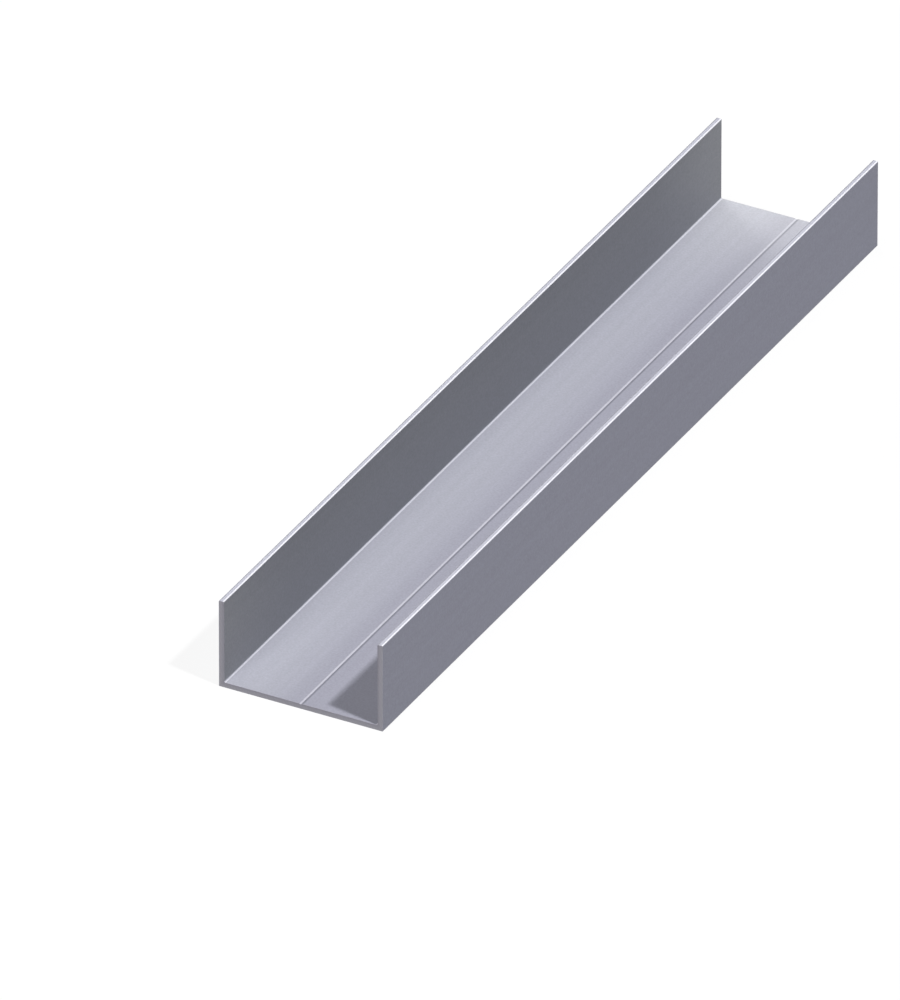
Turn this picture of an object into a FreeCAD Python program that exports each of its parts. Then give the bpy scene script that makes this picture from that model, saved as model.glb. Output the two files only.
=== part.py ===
# Extruded aluminium channel (U section) with a drill line along the middle of its web.
# Millimetres. X runs across the section, Y along the bar, Z up; the web lies flat on Z = 0
# and the two flanges stand up from it. The origin is the middle of the underside.
import FreeCAD, Part
import os
import Sketcher

SIZES = [
    ("outer_width", "43.4", "across the backs of the two flanges"),
    ("outer_height", "23.4", "underside of the web to the flange tops"),
    ("cut_length", "250", "one saw cut to the other"),
    ("web_wall", "1.4", "thickness of the web"),
    ("flange_wall", "1.4", "thickness of each flange"),
    ("lip_radius", "0.25", "both long edges of each flange top"),
    ("root_radius", "0.3", "inside corner between web and flange"),
    ("heel_radius", "0.1", "outside corner between web and flange"),
    ("drill_line_width", "1.1", "mouth of the V groove in the web's inside face"),
    ("drill_line_depth", "0.2", "V groove's depth below the web's inside face"),
]

os.makedirs("parts", exist_ok=True)
doc = FreeCAD.newDocument("metal_channel_section")


def fill_sheet():
    sheet = doc.addObject("Spreadsheet::Sheet", "sizes")
    for row, (alias, value, meaning) in enumerate(SIZES, start=1):
        sheet.set(f"A{row}", alias)
        sheet.set(f"B{row}", value)
        sheet.set(f"C{row}", meaning)
        sheet.setAlias(f"B{row}", alias)
    doc.recompute()
    return sheet


def origin_plane(body, role):
    return next(plane for plane in body.Origin.OriginFeatures if plane.Role == role)


def draw_outline(sketch, corners):
    """Adds one closed outline of straight lines and returns the lines' numbers."""
    lines = []
    for start, end in zip(corners, corners[1:] + corners[:1]):
        segment = Part.LineSegment(FreeCAD.Vector(*start, 0), FreeCAD.Vector(*end, 0))
        lines.append(sketch.addGeometry(segment, False))
    for line, following in zip(lines, lines[1:] + lines[:1]):
        sketch.addConstraint(Sketcher.Constraint("Coincident", line, 2, following, 1))
    return lines


def size_constraint(sketch, kind, first, second, alias):
    """Holds the distance between two line ends at the sheet's value."""
    value = float(getattr(sheet, alias))
    number = sketch.addConstraint(Sketcher.Constraint(kind, *first, *second, value))
    sketch.renameConstraint(number, alias)
    sketch.setExpression(f"Constraints.{alias}", f"sizes.{alias}")


def section_sketch(body):
    """The die's outline, drawn sharp: web, two flanges and the V groove."""
    sketch = body.newObject("Sketcher::SketchObject", "section")
    sketch.AttachmentSupport = [(origin_plane(body, "XZ_Plane"), "")]
    sketch.MapMode = "FlatFace"

    outside = sheet.outer_width / 2
    inside = outside - sheet.flange_wall
    top = sheet.outer_height
    floor = sheet.web_wall
    groove = sheet.drill_line_width / 2
    bottom = floor - sheet.drill_line_depth
    base, right_back, right_top, right_inner, right_floor, groove_right, groove_left, \
        left_floor, left_inner, left_top, left_back = draw_outline(sketch, [
            (-outside, 0), (outside, 0), (outside, top), (inside, top), (inside, floor),
            (groove, floor), (0, bottom), (-groove, floor),
            (-inside, floor), (-inside, top), (-outside, top),
        ])

    add = sketch.addConstraint
    for line in (base, right_top, right_floor, left_floor, left_top):
        add(Sketcher.Constraint("Horizontal", line))
    for line in (right_back, right_inner, left_inner, left_back):
        add(Sketcher.Constraint("Vertical", line))
    for right, left in ((right_back, left_back), (right_top, left_top),
                        (right_inner, left_inner), (groove_right, groove_left)):
        add(Sketcher.Constraint("Equal", right, left))
    add(Sketcher.Constraint("Symmetric", base, 1, base, 2, -1, 1))
    add(Sketcher.Constraint("PointOnObject", groove_right, 2, -2))

    size_constraint(sketch, "DistanceX", (base, 1), (base, 2), "outer_width")
    size_constraint(sketch, "DistanceY", (right_back, 1), (right_back, 2), "outer_height")
    size_constraint(sketch, "DistanceX", (right_top, 2), (right_top, 1), "flange_wall")
    size_constraint(sketch, "DistanceY", (right_back, 1), (right_inner, 2), "web_wall")
    size_constraint(sketch, "DistanceX", (groove_left, 2), (groove_right, 1), "drill_line_width")
    size_constraint(sketch, "DistanceY", (groove_right, 2), (groove_right, 1), "drill_line_depth")
    return sketch


def long_edges(feature, corners):
    """Names the edges that run the whole bar at the given (x, z) corners of the section."""
    names = []
    for number, edge in enumerate(feature.Shape.Edges, start=1):
        start, end = (vertex.Point for vertex in edge.Vertexes[:2])
        if abs(abs(start.y - end.y) - sheet.cut_length) > 1e-6:
            continue
        if any(abs(start.x - x) < 1e-6 and abs(start.z - z) < 1e-6 for x, z in corners):
            names.append(f"Edge{number}")
    return names


def round_edges(body, base, name, radius, corners):
    """Rounds the long edges at those corners, on the right and on the left."""
    fillet = body.newObject("PartDesign::Fillet", name)
    both_sides = corners + [(-x, z) for x, z in corners]
    fillet.Base = (base, long_edges(base, both_sides))
    fillet.setExpression("Radius", f"sizes.{radius}")
    doc.recompute()
    return fillet


def channel_section():
    body = doc.addObject("PartDesign::Body", "channel_section")
    body.Label = "channel_section"
    bar = body.newObject("PartDesign::Pad", "bar")
    bar.Profile = section_sketch(body)
    bar.SideType = "Symmetric"
    bar.setExpression("Length", "sizes.cut_length")
    doc.recompute()

    outside = sheet.outer_width / 2
    inside = outside - sheet.flange_wall
    lips = round_edges(body, bar, "lips", "lip_radius",
                       [(outside, sheet.outer_height), (inside, sheet.outer_height)])
    roots = round_edges(body, lips, "roots", "root_radius", [(inside, sheet.web_wall)])
    round_edges(body, roots, "heels", "heel_radius", [(outside, 0)])
    return body


def check_document():
    for item in doc.Objects:
        if "Invalid" in item.State or "Error" in item.State:
            raise RuntimeError(f"{item.Name} failed: {item.State}")


sheet = fill_sheet()
pieces = [channel_section()]
doc.recompute()
check_document()
for piece in pieces:
    if piece.Shape.isNull() or not piece.Shape.isValid():
        raise RuntimeError(f"{piece.Label} has no valid shape")
    piece.Shape.exportStep(f"parts/{piece.Label}.step")
    print(piece.Label, piece.Shape.BoundBox, f"{piece.Shape.Volume:.1f} mm3")
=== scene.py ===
import math
import bpy
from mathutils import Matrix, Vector


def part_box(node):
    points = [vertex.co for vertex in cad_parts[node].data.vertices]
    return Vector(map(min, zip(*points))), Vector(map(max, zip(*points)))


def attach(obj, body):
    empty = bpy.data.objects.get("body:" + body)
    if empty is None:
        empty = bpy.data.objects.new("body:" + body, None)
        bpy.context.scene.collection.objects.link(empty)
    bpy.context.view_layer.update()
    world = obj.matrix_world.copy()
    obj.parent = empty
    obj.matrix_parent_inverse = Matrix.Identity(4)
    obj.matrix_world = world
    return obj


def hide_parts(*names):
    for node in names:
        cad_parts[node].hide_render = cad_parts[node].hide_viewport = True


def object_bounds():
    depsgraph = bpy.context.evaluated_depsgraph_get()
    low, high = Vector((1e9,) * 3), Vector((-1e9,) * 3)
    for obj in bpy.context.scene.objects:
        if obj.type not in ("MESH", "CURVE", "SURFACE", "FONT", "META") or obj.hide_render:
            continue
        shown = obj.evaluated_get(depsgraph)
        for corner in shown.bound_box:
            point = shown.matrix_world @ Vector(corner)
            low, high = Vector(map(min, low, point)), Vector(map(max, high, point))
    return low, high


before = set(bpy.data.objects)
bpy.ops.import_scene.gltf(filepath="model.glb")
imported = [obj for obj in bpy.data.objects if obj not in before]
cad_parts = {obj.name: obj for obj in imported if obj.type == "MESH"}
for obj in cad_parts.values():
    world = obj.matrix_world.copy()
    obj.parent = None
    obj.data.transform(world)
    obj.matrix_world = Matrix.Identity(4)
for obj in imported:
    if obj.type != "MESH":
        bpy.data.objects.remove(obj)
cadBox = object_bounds()
print("frame loaded:", ", ".join(sorted(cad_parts)))

mm = 0.001
scene = bpy.context.scene
scene.view_settings.view_transform = "Standard"


def linearColour(hexColour):
    channels = [int(hexColour[i:i + 2], 16) / 255 for i in (0, 2, 4)]
    linear = [c / 12.92 if c <= 0.04045 else ((c + 0.055) / 1.055) ** 2.4 for c in channels]
    return (*linear, 1.0)


# An input goes by its name, or by its number where a node has several of one name: Mix takes
# plain numbers at 2 and 3 and colours at 6 and 7.
def addNode(tree, kind, settings=None, inputs=None):
    node = tree.nodes.new(kind)
    for name, value in (settings or {}).items():
        setattr(node, name, value)
    for socket, value in (inputs or {}).items():
        if isinstance(value, bpy.types.NodeSocket):
            tree.links.new(value, node.inputs[socket])
        else:
            node.inputs[socket].default_value = value
    return node


def startMaterial(name):
    material = bpy.data.materials.new(name)
    material.use_nodes = True
    material.node_tree.nodes.clear()
    return material, material.node_tree


# The bar is seen from its near end, from the right and above, through a very long lens.
photoView = {
    "azimuth": 28.03,           # degrees round from -Y towards +X
    "elevation": 31.29,         # degrees above the floor
    "lens": 1400.0,             # mm, so long that parallel edges stay parallel to the eye
    "sensor": 36.0,             # mm along the frame's long side
    "nearest": 1.0,             # m, and nothing nearer is drawn
    "farthest": 40.0,           # m
    "frameWide": 900,           # pixels
    "frameHigh": 1000,
    "pixelsPerMm": 4.2789,      # at the near corner
    "nearCorner": (218.98, 685.95),  # pixel of the near end's lowest left corner
}


# The camera stands so that the near end's lowest left corner falls on its own pixel.
def makeCamera():
    turn = math.radians(photoView["azimuth"])
    rise = math.radians(photoView["elevation"])
    flat = math.cos(rise)
    back = Vector((math.sin(turn) * flat, -math.cos(turn) * flat, math.sin(rise)))
    right = Vector((math.cos(turn), math.sin(turn), 0.0))
    up = back.cross(right)

    wide, high = photoView["frameWide"], photoView["frameHigh"]
    cornerAcross, cornerDown = photoView["nearCorner"]
    metresPerPixel = mm / photoView["pixelsPerMm"]
    across = right * (wide / 2 - cornerAcross) * metresPerPixel
    raised = up * (cornerDown - high / 2) * metresPerPixel
    away = photoView["lens"] / photoView["sensor"] * high * metresPerPixel

    data = bpy.data.cameras.new("photoCamera")
    data.type = "PERSP"
    data.lens = photoView["lens"]
    data.sensor_width = photoView["sensor"]
    data.clip_start = photoView["nearest"]
    data.clip_end = photoView["farthest"]
    camera = bpy.data.objects.new("photoCamera", data)
    camera.location = cadBox[0] + across + raised + back * away
    camera.rotation_mode = "QUATERNION"
    camera.rotation_quaternion = back.to_track_quat("Z", "Y")
    scene.collection.objects.link(camera)
    scene.camera = camera


makeCamera()
print("camera placed")


studio = {
    "keyFrom": (0.548, -0.101, 0.830),  # where it shines from, to cast the slot's shadow
    "keyStrength": 2.68,
    "keyWidth": 4.0,            # degrees across, so shadow edges are just soft
    "softboxAway": 4.0,         # m from the bar
    "softboxSide": 1.4,         # m
    "softboxes": {              # where each one hangs, and its watts
        "overhead": ((-0.02, -0.15, 0.98), 37.0),
        "front": ((-0.10, -0.93, 0.36), 65.0),
        "back": ((-0.80, 0.56, 0.20), 90.0),
    },
    "ambient": 0.03,            # how strongly the white around it lights the bar
    "floorSide": 60.0,          # m
    "floorColour": "484848",    # in the light that the floor throws back on the bar
    "floorGlow": 0.86,          # share of the white seen that no shadow can take
    "floorLit": 0.13,           # and the share that a shadow can
}


def makeLamps():
    key = bpy.data.lights.new("keyLight", "SUN")
    key.energy = studio["keyStrength"]
    key.angle = math.radians(studio["keyWidth"])
    lamps = [(key, studio["keyFrom"])]
    for name, (direction, watts) in studio["softboxes"].items():
        softbox = bpy.data.lights.new(name + "Softbox", "AREA")
        softbox.energy = watts
        softbox.size = studio["softboxSide"]
        lamps.append((softbox, direction))
    for lamp, direction in lamps:
        holder = bpy.data.objects.new(lamp.name, lamp)
        towards = Vector(direction).normalized()
        holder.location = towards * studio["softboxAway"]
        holder.rotation_mode = "QUATERNION"
        holder.rotation_quaternion = towards.to_track_quat("Z", "Y")
        scene.collection.objects.link(holder)


# 1 where a thing is seen itself, in a reflection or through glass, and 0 where it only
# throws light.
def seenItself(tree):
    path = addNode(tree, "ShaderNodeLightPath")
    seen = path.outputs["Is Camera Ray"]
    for ray in ("Is Glossy Ray", "Is Transmission Ray"):
        either = addNode(tree, "ShaderNodeMath", {"operation": "MAXIMUM"},
                         {0: seen, 1: path.outputs[ray]})
        seen = either.outputs[0]
    return seen


def makeWorld():
    world = bpy.data.worlds.new("studioWorld")
    scene.world = world
    world.use_nodes = True
    tree = world.node_tree
    tree.nodes.clear()
    strength = addNode(tree, "ShaderNodeMapRange", None,
                       {"Value": seenItself(tree), "To Min": studio["ambient"], "To Max": 1.0})
    air = addNode(tree, "ShaderNodeBackground", None,
                  {"Color": (1.0, 1.0, 1.0, 1.0), "Strength": strength.outputs[0]})
    addNode(tree, "ShaderNodeOutputWorld", None, {"Surface": air.outputs[0]})


def makeFloorMaterial():
    material, tree = startMaterial("paleStudioFloor")
    plain = addNode(tree, "ShaderNodeBsdfDiffuse", None,
                    {"Color": linearColour(studio["floorColour"])})
    lit = addNode(tree, "ShaderNodeBsdfDiffuse", None,
                  {"Color": (studio["floorLit"],) * 3 + (1.0,)})
    glow = addNode(tree, "ShaderNodeEmission", None, {"Strength": studio["floorGlow"]})
    white = addNode(tree, "ShaderNodeAddShader", None, {0: lit.outputs[0], 1: glow.outputs[0]})
    surface = addNode(tree, "ShaderNodeMixShader", None,
                      {0: seenItself(tree), 1: plain.outputs[0], 2: white.outputs[0]})
    addNode(tree, "ShaderNodeOutputMaterial", None, {"Surface": surface.outputs[0]})
    return material


def makeFloor():
    half = studio["floorSide"] / 2
    level = cadBox[0].z
    corners = [(-half, -half, level), (half, -half, level),
               (half, half, level), (-half, half, level)]
    mesh = bpy.data.meshes.new("studioFloor")
    mesh.from_pydata(corners, [], [(0, 1, 2, 3)])
    mesh.materials.append(makeFloorMaterial())
    floor = bpy.data.objects.new("studioFloor", mesh)
    scene.collection.objects.link(floor)


makeLamps()
makeWorld()
makeFloor()
print("studio lit")


# The section's own sizes. Its width, height and length come from the CAD solid's box.
channel = {
    "webWall": 1.4 * mm,
    "flangeWall": 1.4 * mm,
    "lipRadius": 0.25 * mm,
    "rootRadius": 0.3 * mm,
    "heelRadius": 0.1 * mm,
    "drillLineWidth": 1.1 * mm,
    "drillLineDepth": 0.2 * mm,
    "roundSteps": 7,            # straight steps round each radius
    "weld": 0.001 * mm,         # points this close become one
    "smoothBelow": 20.0,        # degrees between faces that still shade as one surface
    "deburr": 0.05 * mm,        # a file run once round the saw cut
    "deburrSteps": 2,
    "deburrAbove": 60.0,        # degrees between faces, which only the cut's edges have
    "bareAbove": 0.1,           # how much of a face's normal runs along the bar, at a cut
}

anodisedAluminium = {
    "colour": "9798A7",         # the outside faces
    "slotColour": "9F9FAC",     # the faces inside the slot
    "leftLightColour": "AFB0BB",     # painted light on its floor, towards the left
    "endLightColour": "D8D9DC",      # painted light at the far end, and on the walls near both ends
    "wallShadeColour": "7E8087",     # its walls, darker: painted shade
    # painted highlight, with more metal and a smoother finish where it lies: the lips'
    # right-hand edges and tops, the roots and the drill line's left slope
    "paintedHighlightColour": "F2F2FA",
    # painted shade: the drill line's right slope, the lips' left-hand edges and the foot of the
    # walls
    "paintedShadeColour": "54565E",
    "metallic": 0.1,
    "paintedHighlightMetallic": 0.5,
    "roughness": 0.6,
    "roughnessSwing": 0.06,
    "paintedHighlightRoughness": 0.38,
    "specular": 0.3,
    "blend": 0.1 * mm,          # over which one zone runs into the next
    "leftLightFrom": 1 * mm,         # across the slot's floor, lighter to the left: painted light
    "leftLightTo": -14 * mm,
    "farEndLightLength": 52 * mm,   # how far in from the far end light is painted
    "farEndLightShare": 0.36,
    "wallEndLightLength": 42 * mm,  # and from both ends, painted light on the walls
    "wallEndLightShare": 0.13,
    "paintedHighlightTop": 0.41 * mm,     # how far in from a lip's right-hand edge the highlight is painted
    "paintedHighlightSide": 0.17 * mm,    # how far down its sides
    "paintedHighlightRoot": 0.47 * mm,    # and how far in from a wall at its foot
    "lipShare": 0.26,           # how much painted highlight the rest of a lip gets beside that edge
    # painted highlight along the roots of the walls
    "rootShare": 0.66,
    "slopeShare": 0.31,         # painted highlight on the drill line's left slope
    "paintedShadeShare": 0.47,         # painted shade on its right slope
    "paintedShadeSpill": 0.25 * mm,    # and beside it
    "edgeShadeWidth": 0.39 * mm,    # painted shade along each lip's left-hand edge
    "edgeShadeShare": 0.62,
    "wallShadeHeight": 17 * mm,     # how far up the slot's walls painted shade reaches from their foot
    "wallShadeShare": 0.26,
    "streakWidth": 2.2 * mm,    # the broadest of the lines that the die drags along the bar
    "streakStretch": 400,       # how many times longer than wide they are
    "streakSwing": 0.09,
    "streakDepth": 0.02 * mm,
    "streakRelief": 0.5,
    "grainSize": 0.5 * mm,      # coarser than the etched grain really is, so that it shows
    "grainSwing": 0.14,
}


# Where each zone of the film, of painted light, of painted highlight and of painted shade lies
# on the bar, from 0 to 1.
def findZones(tree, place):
    values = anodisedAluminium
    side, end, top = cadBox[1]
    web, flange, root = channel["webWall"], channel["flangeWall"], channel["rootRadius"]
    inner, line, blend = side - flange, channel["drillLineWidth"] / 2, values["blend"]
    paintedHighlightFrom = flange / 2 - values["paintedHighlightTop"]
    paintedHighlightDown = top - values["paintedHighlightSide"]
    paintedShadeTo = values["edgeShadeWidth"] - flange / 2
    byRoot = inner - values["paintedHighlightRoot"]

    spot = addNode(tree, "ShaderNodeSeparateXYZ", None, {0: place.outputs["Object"]})
    zones = {"right": spot.outputs[0], "forward": spot.outputs[1], "up": spot.outputs[2]}
    for name, operation, first, second in (
        ("sideways", "ABSOLUTE", "right", 0.0),
        ("along", "ABSOLUTE", "forward", 0.0),
        ("hand", "SIGN", "right", 0.0),
        ("fromLip", "SUBTRACT", "sideways", side - flange / 2),
        ("acrossLip", "MULTIPLY", "fromLip", "hand"),
    ):
        measure = addNode(tree, "ShaderNodeMath", {"operation": operation},
                          {0: zones[first], 1: zones.get(second, second)})
        zones[name] = measure.outputs[0]

    easing = {"leftLight": "SMOOTHSTEP"}     # broad enough for a straight start to show as a line
    for name, source, none, full in (
        ("inSlot", "sideways", inner + 2 * blend, inner + blend),
        ("aboveSole", "up", web / 4, web / 2),
        ("leftLight", "right", values["leftLightFrom"], values["leftLightTo"]),
        ("farEnd", "forward", end - values["farEndLightLength"], end),
        ("bothEnds", "along", end - values["wallEndLightLength"], end),
        ("wall", "up", web + root / 2, web + root),
        ("wallFoot", "up", values["wallShadeHeight"], web),
        ("lip", "up", paintedHighlightDown, paintedHighlightDown + blend),
        ("rightEdge", "acrossLip", paintedHighlightFrom, paintedHighlightFrom + blend),
        ("leftEdge", "acrossLip", paintedShadeTo, paintedShadeTo - blend),
        ("byWall", "sideways", byRoot, byRoot + blend),
        ("low", "up", web + blend, web),
        ("leftSlope", "right", blend - line, 2 * blend - line),
        ("notRight", "right", blend, 0.0),
        ("notLeft", "right", 0.0, blend),
        ("rightSlope", "right", line + values["paintedShadeSpill"], line),
    ):
        zone = addNode(tree, "ShaderNodeMapRange",
                       {"interpolation_type": easing.get(name, "LINEAR")},
                       {"Value": zones[source], "From Min": none, "From Max": full})
        zones[name] = zone.outputs[0]

    for name, operation, parts in (
        ("inSlot", "MULTIPLY", ("inSlot", "aboveSole")),
        ("leftLight", "MULTIPLY", ("leftLight", "inSlot")),
        ("farEndLight", "MULTIPLY", ("farEnd", "farEnd", "inSlot", values["farEndLightShare"])),
        ("wall", "MULTIPLY", ("wall", "inSlot")),
        ("wallEndLight", "MULTIPLY", ("bothEnds", "bothEnds", "wall", values["wallEndLightShare"])),
        ("rightEdge", "MULTIPLY", ("rightEdge", "lip")),
        ("lipTop", "MULTIPLY", ("lip", values["lipShare"])),
        ("rootStrip", "MULTIPLY", ("byWall", "low", "inSlot", values["rootShare"])),
        ("leftSlope", "MULTIPLY", ("leftSlope", "notRight", "inSlot", values["slopeShare"])),
        ("rightSlope", "MULTIPLY", ("rightSlope", "notLeft", "inSlot", values["paintedShadeShare"])),
        ("leftEdge", "MULTIPLY", ("leftEdge", "lip", values["edgeShadeShare"])),
        ("wallFoot", "MULTIPLY", ("wallFoot", "wall", values["wallShadeShare"])),
        # all the painted highlight, then all the painted shade
        ("paintedHighlight", "MAXIMUM", ("rightEdge", "lipTop", "rootStrip", "leftSlope")),
        ("paintedShade", "MAXIMUM", ("rightSlope", "leftEdge", "wallFoot")),
    ):
        joined = zones[parts[0]]
        for part in parts[1:]:
            step = addNode(tree, "ShaderNodeMath", {"operation": operation},
                           {0: joined, 1: zones.get(part, part)})
            joined = step.outputs[0]
        zones[name] = joined
    return zones


# Extruded bar, etched and clear anodised: a satin, slightly blue grey with fine lines
# along its length, where the die dragged. Inside the slot, light is painted on the floor's
# left, at the far end and on the walls near both ends, and the walls carry painted shade.
# Highlights are painted on the lips' right-hand edges and tops, the roots and the drill line's
# left slope, and shade on its right slope, at the foot of the walls and along the lips'
# left-hand edges.
def makeAnodisedAluminium():
    values = anodisedAluminium
    material, tree = startMaterial("satinAnodisedAluminium")
    place = addNode(tree, "ShaderNodeTexCoord")
    zones = findZones(tree, place)
    colour = linearColour(values["colour"])
    for zone, name in (
        ("inSlot", "slotColour"),
        ("leftLight", "leftLightColour"),
        ("farEndLight", "endLightColour"),
        ("wall", "wallShadeColour"),
        ("wallEndLight", "endLightColour"),
        ("paintedHighlight", "paintedHighlightColour"),
        ("paintedShade", "paintedShadeColour"),
    ):
        tint = addNode(tree, "ShaderNodeMix", {"data_type": "RGBA"},
                       {0: zones[zone], 6: colour, 7: linearColour(values[name])})
        colour = tint.outputs[2]

    perStreak = 1 / values["streakWidth"]
    drawn = addNode(tree, "ShaderNodeMapping", None,
                    {"Vector": place.outputs["Object"],
                     "Scale": (perStreak, perStreak / values["streakStretch"], perStreak)})
    streaks = addNode(tree, "ShaderNodeTexNoise", None,
                      {"Vector": drawn.outputs[0], "Scale": 1.0, "Detail": 5.0,
                       "Roughness": 0.7})
    grain = addNode(tree, "ShaderNodeTexNoise", None,
                    {"Vector": place.outputs["Object"], "Scale": 1 / values["grainSize"],
                     "Detail": 1.0})
    for pattern, swing in ((streaks, values["streakSwing"]), (grain, values["grainSwing"])):
        shade = addNode(tree, "ShaderNodeMapRange", None,
                        {"Value": pattern.outputs[0], "To Min": 1 - swing, "To Max": 1 + swing})
        tint = addNode(tree, "ShaderNodeMix", {"data_type": "RGBA", "blend_type": "MULTIPLY"},
                       {0: 1.0, 6: colour, 7: shade.outputs[0]})
        colour = tint.outputs[2]

    metal = addNode(tree, "ShaderNodeMapRange", None,
                    {"Value": zones["paintedHighlight"], "To Min": values["metallic"],
                     "To Max": values["paintedHighlightMetallic"]})
    dull = addNode(tree, "ShaderNodeMapRange", None,
                   {"Value": streaks.outputs[0],
                    "To Min": values["roughness"] - values["roughnessSwing"],
                    "To Max": values["roughness"] + values["roughnessSwing"]})
    rough = addNode(tree, "ShaderNodeMix", {"data_type": "FLOAT"},
                    {0: zones["paintedHighlight"], 2: dull.outputs[0], 3: values["paintedHighlightRoughness"]})
    relief = addNode(tree, "ShaderNodeBump", None,
                     {"Strength": values["streakRelief"], "Distance": values["streakDepth"],
                      "Height": streaks.outputs[0]})
    skin = addNode(tree, "ShaderNodeBsdfPrincipled", None,
                   {"Base Color": colour, "Metallic": metal.outputs[0],
                    "Roughness": rough.outputs[0], "Specular IOR Level": values["specular"],
                    "Normal": relief.outputs[0]})
    addNode(tree, "ShaderNodeOutputMaterial", None, {"Surface": skin.outputs[0]})
    return material


sawnAluminium = {
    "colour": "AAA8B2",
    "burrColour": "9F9DA8",     # smeared along the slot's side of the cut
    "burrWidth": 0.6 * mm,
    "metallic": 0.1,
    "roughness": 0.5,
    "roughnessSwing": 0.08,
    "specular": 0.3,
    "toothMark": 0.7 * mm,      # from mark to mark, coarser than a fine saw's, so that it shows
    "toothDepth": 0.012 * mm,
    "toothRelief": 0.6,
    "toothSlant": 24,           # degrees
    "toothWander": 2.5,         # how far the marks stray from straight
    "toothSwing": 0.03,
}


# Bare saw cut: warmer and rougher, with the tooth marks left in it and a smeared burr along
# the slot's side.
def makeSawnAluminium():
    values = sawnAluminium
    material, tree = startMaterial("sawnBareAluminium")
    place = addNode(tree, "ShaderNodeTexCoord")
    spot = addNode(tree, "ShaderNodeSeparateXYZ", None, {0: place.outputs["Object"]})
    sideways = addNode(tree, "ShaderNodeMath", {"operation": "ABSOLUTE"}, {0: spot.outputs[0]})
    web, inner = channel["webWall"], cadBox[1].x - channel["flangeWall"]
    overWeb = addNode(tree, "ShaderNodeMapRange", None,
                      {"Value": spot.outputs[2], "From Min": web - values["burrWidth"],
                       "From Max": web - values["burrWidth"] / 2})
    byFlange = addNode(tree, "ShaderNodeMapRange", None,
                       {"Value": sideways.outputs[0], "From Min": inner + values["burrWidth"],
                        "From Max": inner + values["burrWidth"] / 2})
    burr = addNode(tree, "ShaderNodeMath", {"operation": "MINIMUM"},
                   {0: overWeb.outputs[0], 1: byFlange.outputs[0]})
    metal = addNode(tree, "ShaderNodeMix", {"data_type": "RGBA"},
                    {0: burr.outputs[0], 6: linearColour(values["colour"]),
                     7: linearColour(values["burrColour"])})

    turned = addNode(tree, "ShaderNodeMapping", None,
                     {"Vector": place.outputs["Object"],
                      "Rotation": (0.0, math.radians(values["toothSlant"]), 0.0)})
    waveLength = 2 * math.pi / 20       # m from band to band, in the texture at scale 1
    teeth = addNode(tree, "ShaderNodeTexWave", {"wave_type": "BANDS", "bands_direction": "X"},
                    {"Vector": turned.outputs[0], "Scale": waveLength / values["toothMark"],
                     "Distortion": values["toothWander"], "Detail": 3.0, "Detail Scale": 1.2})
    shade = addNode(tree, "ShaderNodeMapRange", None,
                    {"Value": teeth.outputs[1], "To Min": 1 - values["toothSwing"],
                     "To Max": 1 + values["toothSwing"]})
    colour = addNode(tree, "ShaderNodeMix", {"data_type": "RGBA", "blend_type": "MULTIPLY"},
                     {0: 1.0, 6: metal.outputs[2], 7: shade.outputs[0]})
    relief = addNode(tree, "ShaderNodeBump", None,
                     {"Strength": values["toothRelief"], "Distance": values["toothDepth"],
                      "Height": teeth.outputs[1]})
    rough = addNode(tree, "ShaderNodeMapRange", None,
                    {"Value": teeth.outputs[1],
                     "To Min": values["roughness"] - values["roughnessSwing"],
                     "To Max": values["roughness"] + values["roughnessSwing"]})
    cut = addNode(tree, "ShaderNodeBsdfPrincipled", None,
                  {"Base Color": colour.outputs[2], "Metallic": values["metallic"],
                   "Roughness": rough.outputs[0], "Specular IOR Level": values["specular"],
                   "Normal": relief.outputs[0]})
    addNode(tree, "ShaderNodeOutputMaterial", None, {"Surface": cut.outputs[0]})
    return material


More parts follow.
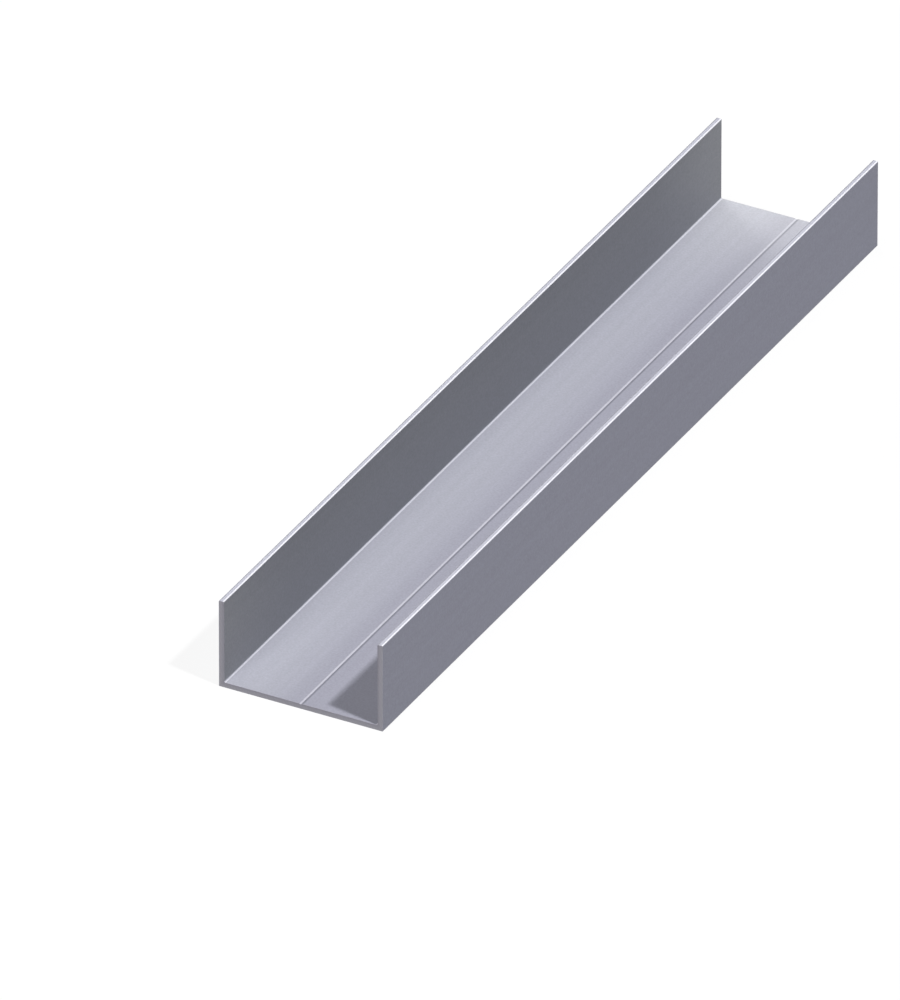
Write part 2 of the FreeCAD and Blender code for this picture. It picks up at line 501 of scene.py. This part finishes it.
# The section as a flat face: a ring of sharp corners, each rounded by its own radius.
def drawSection(tree, given):
    lengths = dict(given)
    for name, operation, first, second in (
        ("backRight", "MULTIPLY", "Outer Width", 0.5),
        ("innerRight", "SUBTRACT", "backRight", "Flange Wall"),
        ("grooveRight", "MULTIPLY", "Drill Line Width", 0.5),
        ("grooveFloor", "SUBTRACT", "Web Wall", "Drill Line Depth"),
        ("backLeft", "MULTIPLY", "backRight", -1.0),
        ("innerLeft", "MULTIPLY", "innerRight", -1.0),
        ("grooveLeft", "MULTIPLY", "grooveRight", -1.0),
    ):
        node = addNode(tree, "ShaderNodeMath", {"operation": operation},
                       {0: lengths[first], 1: lengths.get(second, second)})
        lengths[name] = node.outputs[0]

    corners = [     # across, up and the rounding, anticlockwise from the left heel
        ("backLeft", None, "Heel Radius"),
        ("backRight", None, "Heel Radius"),
        ("backRight", "Outer Height", "Lip Radius"),
        ("innerRight", "Outer Height", "Lip Radius"),
        ("innerRight", "Web Wall", "Root Radius"),
        ("grooveRight", "Web Wall", None),
        (None, "grooveFloor", None),
        ("grooveLeft", "Web Wall", None),
        ("innerLeft", "Web Wall", "Root Radius"),
        ("innerLeft", "Outer Height", "Lip Radius"),
        ("backLeft", "Outer Height", "Lip Radius"),
    ]
    index = addNode(tree, "GeometryNodeInputIndex")
    spot, radius = (addNode(tree, "GeometryNodeIndexSwitch", {"data_type": kind},
                            {"Index": index.outputs[0]}) for kind in ("VECTOR", "FLOAT"))
    for switch in (spot, radius):
        while len(switch.index_switch_items) < len(corners):
            switch.index_switch_items.new()
    for number, (across, up, rounding) in enumerate(corners, start=1):
        corner = addNode(tree, "ShaderNodeCombineXYZ", None,
                         {0: lengths.get(across, 0.0), 1: lengths.get(up, 0.0)})
        tree.links.new(corner.outputs[0], spot.inputs[number])
        if rounding:
            tree.links.new(lengths[rounding], radius.inputs[number])

    ring = addNode(tree, "GeometryNodeCurvePrimitiveCircle", None, {"Resolution": len(corners)})
    outline = addNode(tree, "GeometryNodeSetPosition", None,
                      {"Geometry": ring.outputs[0], "Position": spot.outputs[0]})
    rounded = addNode(tree, "GeometryNodeFilletCurve", {"mode": "POLY"},
                      {"Curve": outline.outputs[0], "Radius": radius.outputs[0],
                       "Count": given["Round Steps"], "Limit Radius": True})
    return addNode(tree, "GeometryNodeFillCurve", {"mode": "NGONS"},
                   {"Curve": rounded.outputs[0]})


# The bar is its section pushed along a straight line, so the tree draws the section from its
# sizes, pushes it upwards and lays the bar down along Y.
def makeChannelTree():
    tree = bpy.data.node_groups.new("extrudedChannel", "GeometryNodeTree")
    sizes = ("Outer Width", "Outer Height", "Length", "Web Wall", "Flange Wall", "Lip Radius",
             "Root Radius", "Heel Radius", "Drill Line Width", "Drill Line Depth")
    inputs = [(name, "NodeSocketFloat") for name in sizes]
    inputs += [("Round Steps", "NodeSocketInt"), ("Skin", "NodeSocketMaterial"),
               ("Saw Cut", "NodeSocketMaterial")]
    for name, kind in inputs:
        tree.interface.new_socket(name=name, in_out="INPUT", socket_type=kind)
    tree.interface.new_socket(name="Geometry", in_out="OUTPUT",
                              socket_type="NodeSocketGeometry")
    start = addNode(tree, "NodeGroupInput")
    given = {name: start.outputs[name] for name, kind in inputs}

    section = drawSection(tree, given)
    push = addNode(tree, "ShaderNodeCombineXYZ", None, {2: given["Length"]})
    bar = addNode(tree, "GeometryNodeExtrudeMesh", {"mode": "FACES"},
                  {"Mesh": section.outputs[0], "Offset": push.outputs[0], "Individual": False})
    farEnd = addNode(tree, "GeometryNodeFlipFaces", None, {"Mesh": section.outputs[0]})
    both = addNode(tree, "GeometryNodeJoinGeometry")
    for part in (farEnd.outputs[0], bar.outputs["Mesh"]):
        tree.links.new(part, both.inputs[0])
    closed = addNode(tree, "GeometryNodeMergeByDistance", None,
                     {"Geometry": both.outputs[0], "Distance": channel["weld"]})
    half = addNode(tree, "ShaderNodeMath", {"operation": "MULTIPLY"},
                   {0: given["Length"], 1: 0.5})
    shift = addNode(tree, "ShaderNodeCombineXYZ", None, {1: half.outputs[0]})
    laid = addNode(tree, "GeometryNodeTransform", None,
                   {"Geometry": closed.outputs[0], "Translation": shift.outputs[0],
                    "Rotation": (math.radians(90), 0.0, 0.0)})

    turn = addNode(tree, "GeometryNodeInputMeshEdgeAngle")
    sharp = addNode(tree, "FunctionNodeCompare", {"operation": "GREATER_THAN"},
                    {"A": turn.outputs[0], "B": math.radians(channel["smoothBelow"])})
    smooth = addNode(tree, "GeometryNodeSetShadeSmooth", {"domain": "FACE"},
                     {"Geometry": laid.outputs[0], "Shade Smooth": True})
    shaded = addNode(tree, "GeometryNodeSetShadeSmooth", {"domain": "EDGE"},
                     {"Geometry": smooth.outputs[0], "Selection": sharp.outputs[0],
                      "Shade Smooth": False})
    real = addNode(tree, "GeometryNodeRealizeInstances", None, {"Geometry": shaded.outputs[0]})
    ends = addNode(tree, "GeometryNodeSetMaterial", None,
                   {"Geometry": real.outputs[0], "Material": given["Saw Cut"]})
    sides = addNode(tree, "GeometryNodeSetMaterial", None,
                    {"Geometry": ends.outputs[0], "Selection": bar.outputs["Side"],
                     "Material": given["Skin"]})
    addNode(tree, "NodeGroupOutput", None, {"Geometry": sides.outputs[0]})
    return tree


def extrudeChannel():
    low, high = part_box("channel_section")
    given = {
        "Outer Width": high.x - low.x,
        "Outer Height": high.z - low.z,
        "Length": high.y - low.y,
        "Web Wall": channel["webWall"],
        "Flange Wall": channel["flangeWall"],
        "Lip Radius": channel["lipRadius"],
        "Root Radius": channel["rootRadius"],
        "Heel Radius": channel["heelRadius"],
        "Drill Line Width": channel["drillLineWidth"],
        "Drill Line Depth": channel["drillLineDepth"],
        "Round Steps": channel["roundSteps"],
        "Skin": makeAnodisedAluminium(),
        "Saw Cut": makeSawnAluminium(),
    }
    tree = makeChannelTree()
    holder = bpy.data.objects.new("channelBuild", bpy.data.meshes.new("channelBuild"))
    scene.collection.objects.link(holder)
    extrude = holder.modifiers.new("extrude", "NODES")
    extrude.node_group = tree
    for item in tree.interface.items_tree:
        if item.in_out == "INPUT":
            extrude[item.identifier] = given[item.name]
    edges = holder.modifiers.new("deburr", "BEVEL")
    edges.width = channel["deburr"]
    edges.segments = channel["deburrSteps"]
    edges.limit_method = "ANGLE"
    edges.angle_limit = math.radians(channel["deburrAbove"])
    flats = holder.modifiers.new("flatFaces", "WEIGHTED_NORMAL")
    flats.keep_sharp = True
    depsgraph = bpy.context.evaluated_depsgraph_get()
    mesh = bpy.data.meshes.new_from_object(holder.evaluated_get(depsgraph))
    bpy.data.objects.remove(holder)
    return mesh


def makeChannel():
    mesh = extrudeChannel()
    mesh.name = "satinChannel"
    mesh.materials.pop(index=0)         # the filled outline brings an empty slot
    for face in mesh.polygons:
        if abs(face.normal.y) > channel["bareAbove"]:
            face.material_index = 0     # filed edges are as bare as the cut
    piece = bpy.data.objects.new("satinChannel", mesh)
    scene.collection.objects.link(piece)
    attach(piece, "root")
    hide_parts("channel_section")
    print("channel made:", len(mesh.polygons), "faces")


makeChannel()
